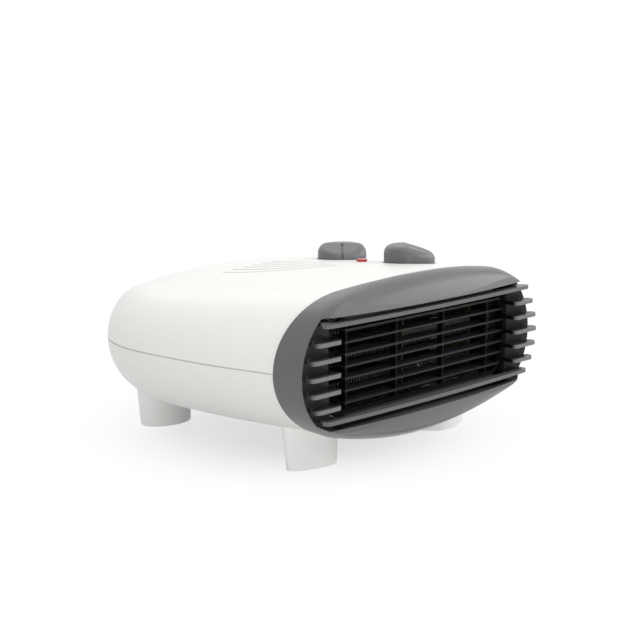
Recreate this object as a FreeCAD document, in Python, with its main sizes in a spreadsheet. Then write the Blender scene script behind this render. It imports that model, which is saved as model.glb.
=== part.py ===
import FreeCAD, Part
import Sketcher
import math
import os
import re

# Flat fan heater: a pod of two moulded shells on four feet, a bowed front bezel with stub ribs, two knobs on top.
# Millimetres, +Z up, front towards -Y, origin on the floor under the middle of the feet.

doc = FreeCAD.newDocument("fan_heater")
sizes = doc.addObject("Spreadsheet::Sheet", "sizes")

driving = {
    # pod form
    "seam_z": 61.0,
    "wall": 2.5,
    "fit": 0.3,
    "half_width": 115.0,
    "front_half_width": 91.0,
    "front_y": -100.25,
    "widest_y": 24.75,
    "rear_y": 97.75,
    "tail_y": 111.75,
    "crown_z": 108.8,
    "crown_slope": 0.07,
    "keel_z": 14.2,
    "plan_swell": 1.8,
    "plan_power": 2.0,
    "crown_power": 3.0,
    "keel_power": 1.7,
    "end_share": 0.82,
    "flat_gain": 0.12,
    "flat_y": 20.0,
    "seam_groove": 0.8,
    "top_groove_depth": 0.6,
    "top_groove_width": 1.6,
    "top_groove_x": 23.5,
    "top_groove_y": 33.75,
    "top_groove_radius": 66.0,
    "top_groove_pitch": 9.0,
    # bezel
    "boundary_y": -96.55,
    "boundary_radius": 280.0,
    "groove": 0.4,
    "spigot_depth": 6.0,
    "spigot_wall": 2.0,
    "bezel_half_width": 98.8,
    "bezel_back_y": -61.25,
    "bezel_step": 0.5,
    "lip_depth": 18.8,
    "lip_drop": 28.0,
    "lip_rise": 36.0,
    "face_y": -112.75,
    "face_radius": 581.0,
    "rim_half": 103.0,
    "rim_corner": 83.0,
    "rim_top_z": 93.6,
    "rim_bottom_z": 32.2,
    "rim_floor_y": -101.5,
    "duct_half": 78.1,
    "duct_corner": 76.5,
    "duct_top_z": 92.6,
    "duct_bottom_z": 34.6,
    "duct_depth": 12.0,
    "duct_y": -99.85,
    "panel_thick": 2.5,
    # ribs and grid
    "rib_centre_z": 62.6,
    "rib_pitch": 8.95,
    "rib_thick": 2.2,
    "rib_half": 98.7,
    "rib_arc_radius": 41.0,
    "rib_arc_z": 62.0,
    "rib_gap_half": 76.0,
    "stub_face_y": -109.05,
    "bar_face_y": -112.05,
    "bar_radius": 1578.0,
    "bar_depth": 6.0,
    "bar_tip": 88.2,
    "bar_top_z": 90.0,
    "bar_bottom_z": 37.6,
    "tip_radius": 3.0,
    "stub_rounding": 2.5,
    "grid_half": 83.0,
    "grid_corner": 64.0,
    "grid_top_z": 91.0,
    "grid_bottom_z": 33.2,
    "blade_left_x": 62.0,
    "grid_thick": 2.0,
    "grid_border": 5.5,
    "blade_thick": 1.2,
    "blade_pitch": 6.75,
    "blade_depth": 8.0,
    "upright_thick": 1.6,
    "upright_pitch": 41.0,
    # feet
    "front_foot_x": 60.5,
    "front_foot_y": -63.25,
    "rear_foot_x": 63.5,
    "rear_foot_y": 65.25,
    "foot_length": 34.0,
    "foot_depth": 26.0,
    "foot_flare": 3.5,
    "foot_rounding": 9.0,
    "front_foot_top": 32.0,
    "rear_foot_top": 42.0,
    "foot_recess": 10.0,
    # screws
    "screw_radius": 1.75,
    "screw_head_radius": 3.4,
    "screw_head": 2.5,
    "cross_span": 3.6,
    "cross_width": 0.9,
    "cross_depth": 1.4,
    "thread_fit": 0.02,
    "clear_fit": 0.25,
    "boss_radius": 6.5,
    "shell_screw_x": 80.0,
    "shell_screw_front_y": -45.25,
    "shell_screw_rear_y": 39.75,
    "shell_screw_seat": 33.0,
    "shell_screw_length": 42.0,
    "foot_screw_length": 20.0,
    # knobs and controls
    "knob_x": 44.0,
    "thermostat_y": -49.95,
    "mode_y": 7.95,
    "thermostat_floor_z": 101.2,
    "mode_floor_z": 96.0,
    "floor_wall": 4.6,
    "knob_radius": 15.8,
    "knob_height": 12.6,
    "knob_gap": 0.6,
    "knob_low_side": 7.4,
    "knob_ridge": -3.0,
    "knob_rounding": 5.0,
    "pointer_width": 1.5,
    "pointer_depth": 0.9,
    "well_radius": 16.6,
    "well_boss_radius": 18.5,
    "spindle_radius": 3.0,
    "spindle_grip": 8.0,
    "running_fit": 0.05,
    "hole_fit": 0.6,
    "switch_side": 26.0,
    "switch_height": 11.0,
    "thermostat_radius": 12.0,
    "thermostat_height": 9.0,
    "ear_half": 18.0,
    "ear_width": 7.0,
    "ear_thick": 2.0,
    "ear_hole": 15.7,
    "control_screw_radius": 1.25,
    # pilot lamp
    "lamp_x": 29.0,
    "lamp_y": -23.75,
    "lamp_radius": 3.3,
    "lamp_top_z": 104.2,
    "lamp_base_z": 98.0,
    "lamp_flange": 1.3,
    "lamp_flange_thick": 1.5,
    "neon_radius": 2.6,
    "neon_length": 7.0,
    # heater
    "housing_half": 74.0,
    "housing_bottom_z": 36.0,
    "housing_top_z": 87.0,
    "housing_front_y": -85.25,
    "housing_back_y": -59.25,
    "sheet_thick": 1.0,
    "flange_x": 50.0,
    "flange_half": 8.0,
    "flange_reach": 12.0,
    "post_radius": 5.0,
    "heater_screw_radius": 1.5,
    "heater_screw_length": 11.0,
    "mica_thick": 1.0,
    "mica_inset": 12.0,
    "mica_margin": 1.5,
    "coil_radius": 3.0,
    "coil_pitch_z": 15.0,
    "coil_pitch_y": 11.0,
    "coil_overhang": 4.0,
    "cutout_radius": 8.0,
    "cutout_height": 7.0,
    "cutout_x": -30.0,
    "fuse_radius": 2.0,
    "fuse_z": 70.0,
    # fan and motor
    "axis_z": 58.5,
    "shroud_y": -30.75,
    "shroud_plate": 2.0,
    "ring_radius": 40.0,
    "ring_wall": 1.6,
    "ring_back_y": -9.25,
    "bar_half": 7.0,
    "bar_thick": 3.0,
    "shaft_radius": 2.0,
    "shaft_front_y": -28.25,
    "hub_radius": 9.0,
    "hub_front_y": -27.25,
    "hub_length": 16.0,
    "vane_tip": 34.5,
    "vane_root": 7.0,
    "vane_tip_chord": 21.0,
    "vane_root_chord": 9.0,
    "vane_thick": 1.4,
    "vane_tip_angle": 26.0,
    "vane_root_angle": 42.0,
    "vane_count": 7,
    "bracket_thick": 2.0,
    "leg_length": 8.0,
    "leg_inner": 16.0,
    "stator_half_height": 25.0,
    "stator_right": 20.0,
    "stator_left": 40.0,
    "stack": 18.0,
    "bore_radius": 13.5,
    "air_gap": 0.4,
    "window_near": 18.0,
    "window_far": 30.0,
    "window_half": 17.0,
    "coil_wrap": 9.0,
    "coil_half": 15.0,
    "bearing_radius": 5.0,
    "bearing_length": 6.0,
    "bearing_boss_radius": 8.0,
    "bolt_radius": 1.9,
    "bolt_z": 20.0,
    # rear
    "collar_depth": 4.0,
    "inlet_slot": 3.0,
    "inlet_pitch": 6.0,
    "inlet_half": 40.0,
    "gland_z": 49.0,
    "gland_radius": 5.0,
    "gland_bore": 3.5,
    "gland_flange_radius": 7.5,
    "gland_flange": 2.0,
    "gland_face_y": 110.75,
    "terminal_x": 52.0,
    "terminal_y": 35.75,
    "terminal_z": 27.0,
    "terminal_length": 28.0,
    "terminal_depth": 12.0,
    "terminal_height": 12.0,
}

for row, (name, number) in enumerate(driving.items(), start=1):
    sizes.set(f"A{row}", name)
    sizes.set(f"B{row}", str(number))
    sizes.setAlias(f"B{row}", name)
doc.recompute()

nodes = []


def tied(text):
    return re.sub(r"[a-z][a-z0-9_]*", lambda word: f"sizes.{word[0]}" if word[0] in driving else word[0], text)


def size(text):
    return float(sizes.evalExpression(tied(text)))


def bind(thing, ties):
    for path, text in ties.items():
        thing.setExpression(path, tied(text))
    return thing


def node(label, thing):
    thing.Label = label
    nodes.append(thing)
    return thing


# Part primitives and booleans

def block(name, x, y, z):
    box = doc.addObject("Part::Box", name)
    ties = {}
    for letter, side, (low, high) in zip("xyz", ("Length", "Width", "Height"), (x, y, z)):
        ties[side] = f"({high}) - ({low})"
        ties[f"Placement.Base.{letter}"] = low
    return bind(box, ties)


turns = {
    "x": FreeCAD.Rotation(FreeCAD.Vector(0, 1, 0), 90),
    "y": FreeCAD.Rotation(FreeCAD.Vector(1, 0, 0), -90),
    "z": FreeCAD.Rotation(),
}


def rod(name, radius, along, start, end, x="0", y="0", z="0"):
    cylinder = doc.addObject("Part::Cylinder", name)
    cylinder.Placement = FreeCAD.Placement(FreeCAD.Vector(), turns[along])
    base = {"x": x, "y": y, "z": z}
    base[along] = start
    ties = {"Radius": radius, "Height": f"({end}) - ({start})"}
    for letter, text in base.items():
        ties[f"Placement.Base.{letter}"] = text
    return bind(cylinder, ties)


def fuse(name, shapes):
    joined = doc.addObject("Part::MultiFuse", name)
    joined.Shapes = shapes
    return joined


def cut(name, base, tools):
    left = doc.addObject("Part::Cut", name)
    left.Base = base
    left.Tool = tools[0] if len(tools) == 1 else fuse(f"{name}_tools", tools)
    return left


def common(name, base, tool):
    shared = doc.addObject("Part::Common", name)
    shared.Base = base
    shared.Tool = tool
    return shared


def group(name, shapes):
    gathered = doc.addObject("Part::Compound", name)
    gathered.Links = shapes
    return gathered


# Sketches in a body, on its own origin planes

def new_body(name):
    return doc.addObject("PartDesign::Body", name)


def origin_part(body, role):
    return next(feature for feature in body.Origin.OriginFeatures if feature.Role == role)


def sketch(body, name, role, offset):
    drawing = body.newObject("Sketcher::SketchObject", name)
    drawing.AttachmentSupport = [(origin_part(body, role), "")]
    drawing.MapMode = "FlatFace"
    return bind(drawing, {"AttachmentOffset.Base.z": offset})


def pin(drawing, kind, where, text):
    index = drawing.addConstraint(Sketcher.Constraint(kind, *where, size(text)))
    drawing.setExpression(f"Constraints[{index}]", tied(text))


def place(drawing, geometry, point, x, y):
    pin(drawing, "DistanceX", (-1, 1, geometry, point), x)
    pin(drawing, "DistanceY", (-1, 1, geometry, point), y)


def segment(x0, y0, x1, y1):
    return Part.LineSegment(FreeCAD.Vector(x0, y0, 0), FreeCAD.Vector(x1, y1, 0))


def arc(x, y, radius, start, end):
    circle = Part.Circle(FreeCAD.Vector(x, y, 0), FreeCAD.Vector(0, 0, 1), radius)
    return Part.ArcOfCircle(circle, start, end)


def outline(drawing, corners):
    spots = [(size(x), size(y)) for x, y in corners]
    count = len(corners)
    for index, (spot, after) in enumerate(zip(spots, spots[1:] + spots[:1])):
        drawing.addGeometry(segment(*spot, *after), False)
    for index, (x, y) in enumerate(corners):
        drawing.addConstraint(Sketcher.Constraint("Coincident", (index - 1) % count, 2, index, 1))
        place(drawing, index, 1, x, y)
    return drawing


def rounded_rectangle(drawing, x, y, half_length, half_depth, radius):
    cx, cy, a, b, r = size(x), size(y), size(half_length), size(half_depth), size(radius)
    quarter = math.pi / 2
    drawing.addGeometry([
        segment(cx - a + r, cy - b, cx + a - r, cy - b), arc(cx + a - r, cy - b + r, r, -quarter, 0),
        segment(cx + a, cy - b + r, cx + a, cy + b - r), arc(cx + a - r, cy + b - r, r, 0, quarter),
        segment(cx + a - r, cy + b, cx - a + r, cy + b), arc(cx - a + r, cy + b - r, r, quarter, 2 * quarter),
        segment(cx - a, cy + b - r, cx - a, cy - b + r), arc(cx - a + r, cy - b + r, r, 2 * quarter, 3 * quarter),
    ], False)
    for index in range(8):
        drawing.addConstraint(Sketcher.Constraint("Tangent", index, 2, (index + 1) % 8, 1))
    for index in (3, 5, 7):
        drawing.addConstraint(Sketcher.Constraint("Equal", 1, index))
    for index in (0, 4):
        drawing.addConstraint(Sketcher.Constraint("Horizontal", index))
    drawing.addConstraint(Sketcher.Constraint("Vertical", 2))
    pin(drawing, "Radius", (1,), radius)
    pin(drawing, "DistanceY", (-1, 1, 0, 1), f"{y} - ({half_depth})")
    pin(drawing, "DistanceY", (-1, 1, 4, 1), f"{y} + {half_depth}")
    pin(drawing, "DistanceX", (-1, 1, 2, 1), f"{x} + {half_length}")
    pin(drawing, "DistanceX", (-1, 1, 6, 1), f"{x} - ({half_length})")
    return drawing


def half_oval(body, name, y, half, height, upper):
    # Three tangent arcs over a straight base on the seam.
    drawing = sketch(body, name, "XZ_Plane", f"-({y})")
    flatter = f"flat_gain * max(0; (flat_y - ({y})) / (flat_y - face_y))" if upper else "0"
    end = f"(end_share + {flatter}) * ({height})"
    crest = f"((({half}) - {end})^2 + ({height})^2 - ({end})^2) / (2 * (({height}) - {end}))"
    a, b, r, big, seam = size(half), size(height), size(end), size(crest), size("seam_z")
    turn = math.atan2(big - b, a - r)
    if upper:
        arcs = [arc(a - r, seam, r, 0, turn), arc(0, seam + b - big, big, turn, math.pi - turn),
                arc(r - a, seam, r, math.pi - turn, math.pi)]
    else:
        arcs = [arc(r - a, seam, r, math.pi, math.pi + turn),
                arc(0, seam - b + big, big, math.pi + turn, 2 * math.pi - turn),
                arc(a - r, seam, r, 2 * math.pi - turn, 2 * math.pi)]
    side = 1 if upper else -1
    drawing.addGeometry(arcs + [segment(-side * a, seam, side * a, seam)], False)
    for kind, *where in (("Tangent", 0, 2, 1, 1), ("Tangent", 1, 2, 2, 1), ("Equal", 0, 2),
                         ("Coincident", 2, 2, 3, 1), ("Coincident", 3, 2, 0, 1)):
        drawing.addConstraint(Sketcher.Constraint(kind, *where))
    pin(drawing, "Radius", (0,), end)
    pin(drawing, "Radius", (1,), crest)
    for geometry in (0, 2):
        pin(drawing, "DistanceY", (-1, 1, geometry, 3), "seam_z")
    place(drawing, 0, 1, f"{side} * ({half})", "seam_z")
    place(drawing, 2, 2, f"{-side} * ({half})", "seam_z")
    return drawing


def barrel(body, name, y, half, corner, top, bottom):
    # Straight top and bottom edges with bulging arc ends.
    drawing = sketch(body, name, "XZ_Plane", f"-({y})")
    rise = f"((({top}) - ({bottom})) / 2)"
    bulge = f"(({half}) - ({corner}))"
    bend = f"({rise}^2 + {bulge}^2) / (2 * {bulge})"
    w, c, t, b, r = size(half), size(corner), size(top), size(bottom), size(bend)
    middle = (t + b) / 2
    sweep = math.asin((t - b) / 2 / r)
    drawing.addGeometry([segment(c, t, -c, t), arc(r - w, middle, r, math.pi - sweep, math.pi + sweep),
                         segment(-c, b, c, b), arc(w - r, middle, r, -sweep, sweep)], False)
    for index in range(4):
        drawing.addConstraint(Sketcher.Constraint("Coincident", index, 2, (index + 1) % 4, 1))
    place(drawing, 0, 1, corner, top)
    place(drawing, 0, 2, f"-({corner})", top)
    place(drawing, 2, 1, f"-({corner})", bottom)
    place(drawing, 2, 2, corner, bottom)
    pin(drawing, "Radius", (1,), bend)
    pin(drawing, "Radius", (3,), bend)
    return drawing


def pad(body, name, drawing, length):
    feature = body.newObject("PartDesign::Pad", name)
    feature.Profile = drawing
    return bind(feature, {"Length": length})


def loft(body, name, drawings, ruled=False):
    feature = body.newObject("PartDesign::AdditiveLoft", name)
    feature.Profile = drawings[0]
    feature.Sections = drawings[1:]
    feature.Ruled = ruled
    return feature


# Pod form: half width, crown height and keel depth at a station along Y

def behind(y):
    return f"((({y}) - widest_y) / (tail_y - widest_y))"


def plan(y):
    if size(y) <= size("widest_y"):
        ahead = f"((widest_y - ({y})) / (widest_y - front_y))"
        return f"(half_width - (half_width - front_half_width) * {ahead}^plan_swell)"
    return f"(half_width * (1 - {behind(y)}^plan_power)^(1 / plan_power))"


def crown(y):
    line = f"(crown_z - crown_slope * (({y}) - front_y) - seam_z)"
    if size(y) <= size("widest_y"):
        return line
    return f"({line} * (1 - {behind(y)}^crown_power)^(1 / crown_power))"


def keel(y):
    if size(y) <= size("widest_y"):
        return "(seam_z - keel_z)"
    return f"((seam_z - keel_z) * (1 - {behind(y)}^keel_power)^(1 / keel_power))"


def half_pod(name, stations, upper, inset="0", shift="0"):
    body = new_body(name)
    height = crown if upper else keel
    drawings = []
    for index, y in enumerate(stations):
        there = f"{y} + {shift}"
        drawings.append(half_oval(body, f"{name}_{index}", y, f"{plan(there)} - ({inset})",
                                  f"{height(there)} - ({inset})", upper))
    loft(body, f"{name}_loft", drawings)
    return body


front_shares = (0, 0.2, 0.4, 0.6, 0.8, 1)
rear_shares = (0.3, 0.56, 0.76, 0.9, 1)
shell_stations = [f"front_y + {share} * (widest_y - front_y)" for share in front_shares]
shell_stations += [f"widest_y + {share} * (rear_y - widest_y)" for share in rear_shares]

forms = {}
cavities = {}
for upper, word in ((True, "upper"), (False, "lower")):
    forms[upper] = half_pod(f"{word}_form", shell_stations, upper)
    cavities[upper] = half_pod(f"{word}_cavity", shell_stations, upper, "wall")


def whole_pod(name, inset):
    return fuse(name, [half_pod(f"{name}_{word}", shell_stations, upper, inset)
                       for upper, word in ((True, "upper"), (False, "lower"))])


inner_form = whole_pod("inner_form", "wall + fit")

# Space in front of an upright cylinder, which trims the bowed edges

margin = "20"


def slab(name, start, end):
    return block(name, (f"-half_width - {margin}", f"half_width + {margin}"), (start, end),
                 (f"-{margin}", f"crown_z + {margin}"))


front_block = slab("front_block", f"face_y - {margin}", "bezel_back_y")


def space_ahead(name, edge_y, radius, trim="0"):
    bow = rod(f"{name}_bow", f"{radius} + {trim}", "z", f"-2 * {margin}", f"crown_z + 2 * {margin}",
              y=f"{edge_y} + {radius}")
    return cut(name, front_block, [bow])


shell_trim = space_ahead("shell_trim", "boundary_y", "boundary_radius")
bezel_space = space_ahead("bezel_space", "boundary_y", "boundary_radius", "groove")
spigot_space = space_ahead("spigot_space", "boundary_y", "boundary_radius", "-spigot_depth")
face_trim = space_ahead("face_trim", "face_y", "face_radius")

# Screw places

shell_screw_spots = [(f"{side} * shell_screw_x", y) for side in (-1, 1)
                     for y in ("shell_screw_front_y", "shell_screw_rear_y")]
foot_spots = {
    "front_left_foot": ("-front_foot_x", "front_foot_y", "front_foot_top"),
    "front_right_foot": ("front_foot_x", "front_foot_y", "front_foot_top"),
    "rear_left_foot": ("-rear_foot_x", "rear_foot_y", "rear_foot_top"),
    "rear_right_foot": ("rear_foot_x", "rear_foot_y", "rear_foot_top"),
}
heater_spots = [(f"{side} * flange_x", "housing_back_y + flange_reach / 2") for side in (-1, 1)]
knob_spots = {
    "mode": ("mode_y", "mode_floor_z"),
    "thermostat": ("thermostat_y", "thermostat_floor_z"),
}
screw_tip = "shell_screw_seat + shell_screw_length"
sky = "crown_z + 20"

# Upper shell: skin, screw bosses, knob wells with thick floors, lamp hole

upper_posts = []
upper_holes = []
for index, (x, y) in enumerate(shell_screw_spots):
    upper_posts.append(rod(f"upper_post_{index}", "boss_radius", "z", "seam_z", sky, x, y))
    upper_holes.append(rod(f"upper_pilot_{index}", "screw_radius + thread_fit", "z", "seam_z - 1",
                           f"{screw_tip} + 1", x, y))
for name, (y, floor) in knob_spots.items():
    upper_posts.append(rod(f"{name}_well_boss", "well_boss_radius", "z", f"{floor} - floor_wall", sky, "knob_x", y))
    upper_holes.append(rod(f"{name}_well", "well_radius", "z", floor, sky, "knob_x", y))
    upper_holes.append(rod(f"{name}_spindle_hole", "spindle_radius + hole_fit", "z", f"{floor} - floor_wall - 1",
                           f"{floor} + 1", "knob_x", y))
upper_holes.append(rod("lamp_hole", "lamp_radius + running_fit", "z", "seam_z", sky, "lamp_x", "lamp_y"))


def control_screw_spots(name):
    y, floor = knob_spots[name]
    if name == "mode":
        return [("knob_x", f"{y} + {side} * ear_hole", floor) for side in (-1, 1)]
    return [(f"knob_x + {side} * ear_hole", y, floor) for side in (-1, 1)]


for name in knob_spots:
    for index, (x, y, floor) in enumerate(control_screw_spots(name)):
        upper_holes.append(rod(f"{name}_pilot_{index}", "control_screw_radius + thread_fit", "z",
                               f"{floor} - floor_wall - 1", f"{floor} - ear_thick / 2", x, y))

shallow_form = half_pod("shallow_form", shell_stations, True, "top_groove_depth")
rings = []
for index in range(6):
    radius = f"top_groove_radius - {index} * top_groove_pitch"
    outer = rod(f"groove_outer_{index}", f"{radius} + top_groove_width / 2", "z", "seam_z", sky, "top_groove_x",
                "top_groove_y")
    inner = rod(f"groove_inner_{index}", f"{radius} - top_groove_width / 2", "z", "seam_z - 1", f"{sky} + 1",
                "top_groove_x", "top_groove_y")
    rings.append(cut(f"groove_ring_{index}", outer, [inner]))
sector = new_body("groove_sector")
sector_corners = [("top_groove_x", "top_groove_y")]
for angle in (186, 218, 250):
    sector_corners.append((f"top_groove_x + 1.3 * top_groove_radius * cos({angle} deg)",
                           f"top_groove_y + 1.3 * top_groove_radius * sin({angle} deg)"))
pad(sector, "groove_sector_pad", outline(sketch(sector, "groove_sector_sketch", "XY_Plane", "seam_z"), sector_corners),
    f"{sky} - seam_z")
ring_sector = common("ring_sector", fuse("ring_set", rings), sector)
upper_holes.append(cut("top_grooves", ring_sector, [shallow_form]))
seam_form = half_pod("seam_form", shell_stations, True, "wall / 2")
seam_slab = block("seam_slab", ("-half_width - 5", "half_width + 5"), ("face_y", "tail_y"),
                  ("seam_z", "seam_z + seam_groove"))
upper_holes.append(cut("seam_rebate", seam_slab, [seam_form]))

upper_skin = cut("upper_skin", forms[True], [cavities[True], shell_trim])
upper_bosses = common("upper_bosses", fuse("upper_post_set", upper_posts), forms[True])
upper_body = fuse("upper_body", [upper_skin, upper_bosses])
node("upper_shell", cut("upper_shell", upper_body, upper_holes))

# Lower shell: skin, screw bosses with recessed seats, foot bosses, heater posts, terminal pad

lower_posts = []
lower_holes = []
for index, (x, y) in enumerate(shell_screw_spots):
    lower_posts.append(rod(f"lower_post_{index}", "boss_radius", "z", "0", "seam_z", x, y))
    lower_holes.append(rod(f"lower_seat_{index}", "screw_head_radius + 2 * clear_fit", "z", "0",
                           "shell_screw_seat", x, y))
    lower_holes.append(rod(f"lower_clear_{index}", "screw_radius + clear_fit", "z", "0", "seam_z + 1", x, y))
for name, (x, y, top) in foot_spots.items():
    lower_posts.append(rod(f"{name}_boss", "boss_radius", "z", "0", f"foot_recess + foot_screw_length + 2", x, y))
    lower_holes.append(rod(f"{name}_pilot", "screw_radius + thread_fit", "z", "0",
                           "foot_recess + foot_screw_length + 1", x, y))
for index, (x, y) in enumerate(heater_spots):
    lower_posts.append(rod(f"heater_post_{index}", "post_radius", "z", "0", "housing_bottom_z", x, y))
    lower_holes.append(rod(f"heater_pilot_{index}", "heater_screw_radius + thread_fit", "z",
                           "housing_bottom_z - heater_screw_length - 1", "housing_bottom_z + 1", x, y))
lower_posts.append(block("terminal_pad",
                         ("terminal_x - terminal_length / 2", "terminal_x + terminal_length / 2"),
                         ("terminal_y - terminal_depth / 2", "terminal_y + terminal_depth / 2"),
                         ("0", "terminal_z")))

lower_skin = cut("lower_skin", forms[False], [cavities[False], shell_trim])
lower_bosses = common("lower_bosses", fuse("lower_post_set", lower_posts), forms[False])
lower_body = fuse("lower_body", [lower_skin, lower_bosses])
node("lower_shell", cut("lower_shell", lower_body, lower_holes))

# Front bezel: convex lip, rear spigot, sunken end panels, two bars and stub ribs

straight_shares = (1.4, 0.7)
lip_shares = (0, 0.3, 0.58, 0.85)


def half_bezel(name, upper, inset="0"):
    body = new_body(name)
    height = crown("boundary_y") if upper else keel("boundary_y")
    fall = "lip_drop" if upper else "lip_rise"
    drawings = []
    for index, share in enumerate(straight_shares):
        y = f"boundary_y + {share} * lip_depth"
        depth = crown(y) if upper else keel(y)
        drawings.append(half_oval(body, f"{name}_straight_{index}", y, f"bezel_half_width - {inset}",
                                  f"{depth} - bezel_step - {inset}", upper))
    for index, share in enumerate(lip_shares):
        drop = f"{fall} * (1 - sqrt(1 - {share}^2))"
        drawings.append(half_oval(body, f"{name}_{index}", f"boundary_y - {share} * lip_depth",
                                  f"bezel_half_width - {inset}", f"{height} - bezel_step - {drop} - {inset}", upper))
    loft(body, f"{name}_loft", drawings)
    return body


bezel_form = fuse("bezel_form", [half_bezel("bezel_top", True), half_bezel("bezel_bottom", False)])
hollow = common("bezel_hollow", whole_pod("hollow_form", "wall + fit + spigot_wall"),
                slab("hollow_slab", "duct_y + panel_thick", "bezel_back_y + 1"))

rim = ("rim_half", "rim_corner", "rim_top_z", "rim_bottom_z")
duct = ("duct_half", "duct_corner", "duct_top_z", "duct_bottom_z")
rim_cutter = new_body("rim_cutter")
pad(rim_cutter, "rim_pad", barrel(rim_cutter, "rim_sketch", "rim_floor_y", *rim), "rim_floor_y - face_y + 20")
slope_cutter = new_body("slope_cutter")
loft(slope_cutter, "slope_loft", [barrel(slope_cutter, "slope_front", "rim_floor_y", *rim),
                                  barrel(slope_cutter, "slope_back", "duct_y", *duct)], ruled=True)
duct_cutter = new_body("duct_cutter")
pad(duct_cutter, "duct_pad", barrel(duct_cutter, "duct_sketch", "duct_y + duct_depth", *duct), "duct_depth")

rim_wall = new_body("rim_wall")
pad(rim_wall, "rim_wall_pad", barrel(rim_wall, "rim_wall_sketch", "duct_y + panel_thick", "rim_half + wall",
                                     "rim_corner + wall", "rim_top_z + wall", "rim_bottom_z - wall"),
    "duct_y + panel_thick - face_y + 20")
lip_form = fuse("lip_form", [half_bezel("lip_top", True, "wall"), half_bezel("lip_bottom", False, "wall")])
lip_room = common("lip_room", lip_form, slab("lip_slab", "face_y", "duct_y + panel_thick + 1"))
lip_hollow = cut("lip_hollow", lip_room, [rim_wall, space_ahead("lip_front", "face_y + wall", "face_radius")])

ring_solid = fuse("ring_solid", [common("bezel_lip", bezel_form, bezel_space),
                                 common("bezel_spigot", inner_form, spigot_space)])
bezel_ring = cut("bezel_ring", ring_solid, [rim_cutter, slope_cutter, duct_cutter, hollow, lip_hollow, face_trim])

rib_back = "duct_y + panel_thick / 4"


def rib_tip(level):
    rise = f"(rib_centre_z + {level} * rib_pitch - rib_arc_z)"
    return f"rib_half - rib_arc_radius + sqrt(rib_arc_radius^2 - {rise}^2)"


def rib_heights(z):
    return [f"{z} + {side} * rib_thick / 2" for side in (-1, 1)]


def stub(name, level, side):
    # Plate with a half round tip and a rounded free end.
    heights = rib_heights(f"rib_centre_z + {level} * rib_pitch")
    tip = f"({rib_tip(level)} - tip_radius)"
    inner = "(rib_gap_half + stub_rounding)"
    spans = [(inner, tip, "stub_face_y"), ("rib_gap_half", inner, "stub_face_y + stub_rounding")]
    pieces = []
    for index, (low, high, front) in enumerate(spans):
        ends = (low, high) if side > 0 else (f"-({high})", f"-({low})")
        pieces.append(block(f"{name}_plate_{index}", ends, (front, rib_back), heights))
    for index, (x, radius) in enumerate(((tip, "tip_radius"), (inner, "stub_rounding"))):
        pieces.append(rod(f"{name}_round_{index}", radius, "z", *heights, f"{side} * {x}", f"stub_face_y + {radius}"))
    return fuse(name, pieces)


def front_bar(name, z):
    # Full width plate bowed with the face, half round at both tips, slim where it crosses the duct.
    heights = rib_heights(z)
    tip = "(bar_tip - tip_radius)"
    bow_y = f"(bar_face_y + bar_radius - sqrt(bar_radius^2 - {tip}^2))"
    bow = rod(f"{name}_bow", "bar_radius", "z", *heights, y="bar_face_y + bar_radius")
    plate = block(f"{name}_plate", (f"-{tip}", tip), ("bar_face_y - 1", rib_back), heights)
    pieces = [common(f"{name}_bowed", plate, bow)]
    for side in (-1, 1):
        pieces.append(rod(f"{name}_tip_{side + 1}", "tip_radius", "z", *heights, f"{side} * {tip}",
                          f"{bow_y} + tip_radius"))
    relief = block(f"{name}_relief", ("-duct_half", "duct_half"), ("bar_face_y + bar_depth", f"{rib_back} + 1"),
                   (f"{z} - rib_thick", f"{z} + rib_thick"))
    return cut(name, fuse(f"{name}_whole", pieces), [relief])


ribs = [front_bar("bottom_bar", "bar_bottom_z"), front_bar("top_bar", "bar_top_z")]
for level in range(-2, 3):
    for side in (-1, 1):
        ribs.append(stub(f"stub_{level + 2}_{side + 1}", level, side))
node("front_bezel", fuse("front_bezel", [bezel_ring] + ribs))

# Outlet grid behind the bezel: border, thin blades and uprights

grid_y = "duct_y + panel_thick"
grid_outer = ("grid_half", "grid_corner", "grid_top_z", "grid_bottom_z")
grid_inner = ("grid_half - grid_border", "grid_corner + grid_border", "grid_top_z - grid_border",
              "grid_bottom_z + grid_border")
grid_plate = new_body("grid_plate")
pad(grid_plate, "grid_plate_pad", barrel(grid_plate, "grid_plate_sketch", f"{grid_y} + grid_thick", *grid_outer),
    "grid_thick")
grid_window = new_body("grid_window")
pad(grid_window, "grid_window_pad", barrel(grid_window, "grid_window_sketch", f"{grid_y} + grid_thick + 1", *grid_inner),
    "grid_thick + 2")
grid_envelope = new_body("grid_envelope")
pad(grid_envelope, "grid_envelope_pad",
    barrel(grid_envelope, "grid_envelope_sketch", f"{grid_y} + blade_depth", "grid_half - 1", "grid_corner - 1",
           "grid_top_z - 1", "grid_bottom_z + 1"), "blade_depth")
grid_bars = []
for level in range(-3, 4):
    heights = [f"rib_centre_z + {level} * blade_pitch + {side} * blade_thick / 2" for side in (-1, 1)]
    grid_bars.append(block(f"blade_{level + 3}", ("-blade_left_x", "grid_half"), (grid_y, f"{grid_y} + blade_depth"),
                           heights))
for index in range(4):
    centre = f"({index} - 1.5) * upright_pitch"
    grid_bars.append(block(f"upright_{index}", (f"{centre} - upright_thick / 2", f"{centre} + upright_thick / 2"),
                           (grid_y, f"{grid_y} + blade_depth / 2"), ("rim_bottom_z - 10", "rim_top_z")))
grid_lattice = common("grid_lattice", fuse("grid_bar_set", grid_bars), grid_envelope)
node("outlet_grid", fuse("outlet_grid", [cut("grid_border_plate", grid_plate, [grid_window]), grid_lattice]))

# Rear inlet grille: domed cap with level slots and a flat seat for the cord gland

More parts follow.
